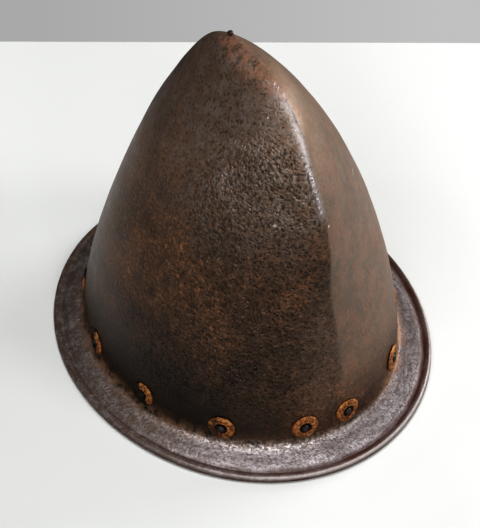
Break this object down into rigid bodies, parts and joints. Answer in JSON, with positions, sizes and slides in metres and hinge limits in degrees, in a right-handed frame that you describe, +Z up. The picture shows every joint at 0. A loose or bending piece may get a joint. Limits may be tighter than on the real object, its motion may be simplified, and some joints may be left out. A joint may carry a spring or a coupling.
{
  "type": "morion helmet",
  "caption": "Open helmet with a tall almond-shaped iron crown ridged from front to back, a narrow lipped brim, a small stalk on top and riveted brass washers round the base.",
  "frame": {"origin": "centre of the footprint, on the surface that the brim rests on", "axes": "+Z up, -Y the way the wearer faces, +X to the wearer's left"},
  "size_m": [0.225, 0.2612, 0.2174],
  "materials": {
    "iron_plate": "dark brown patina on pitted forged iron, waxed",
    "brass_washer": "tarnished and rust-stained",
    "iron_rivet": "blackened forged iron"
  },
  "bodies": {
    "root": {"helmet_shell": "iron_plate", "rosette_01": "brass_washer", "rosette_02": "brass_washer", "rosette_03": "brass_washer", "rosette_04": "brass_washer", "rosette_05": "brass_washer", "rosette_06": "brass_washer", "rosette_07": "brass_washer", "rosette_08": "brass_washer", "rosette_09": "brass_washer", "rosette_10": "brass_washer", "rosette_11": "brass_washer", "rosette_12": "brass_washer", "rosette_13": "brass_washer", "rosette_14": "brass_washer", "rivet_01": "iron_rivet", "rivet_02": "iron_rivet", "rivet_03": "iron_rivet", "rivet_04": "iron_rivet", "rivet_05": "iron_rivet", "rivet_06": "iron_rivet", "rivet_07": "iron_rivet", "rivet_08": "iron_rivet", "rivet_09": "iron_rivet", "rivet_10": "iron_rivet", "rivet_11": "iron_rivet", "rivet_12": "iron_rivet", "rivet_13": "iron_rivet", "rivet_14": "iron_rivet"}
  },
  "joints": []
}
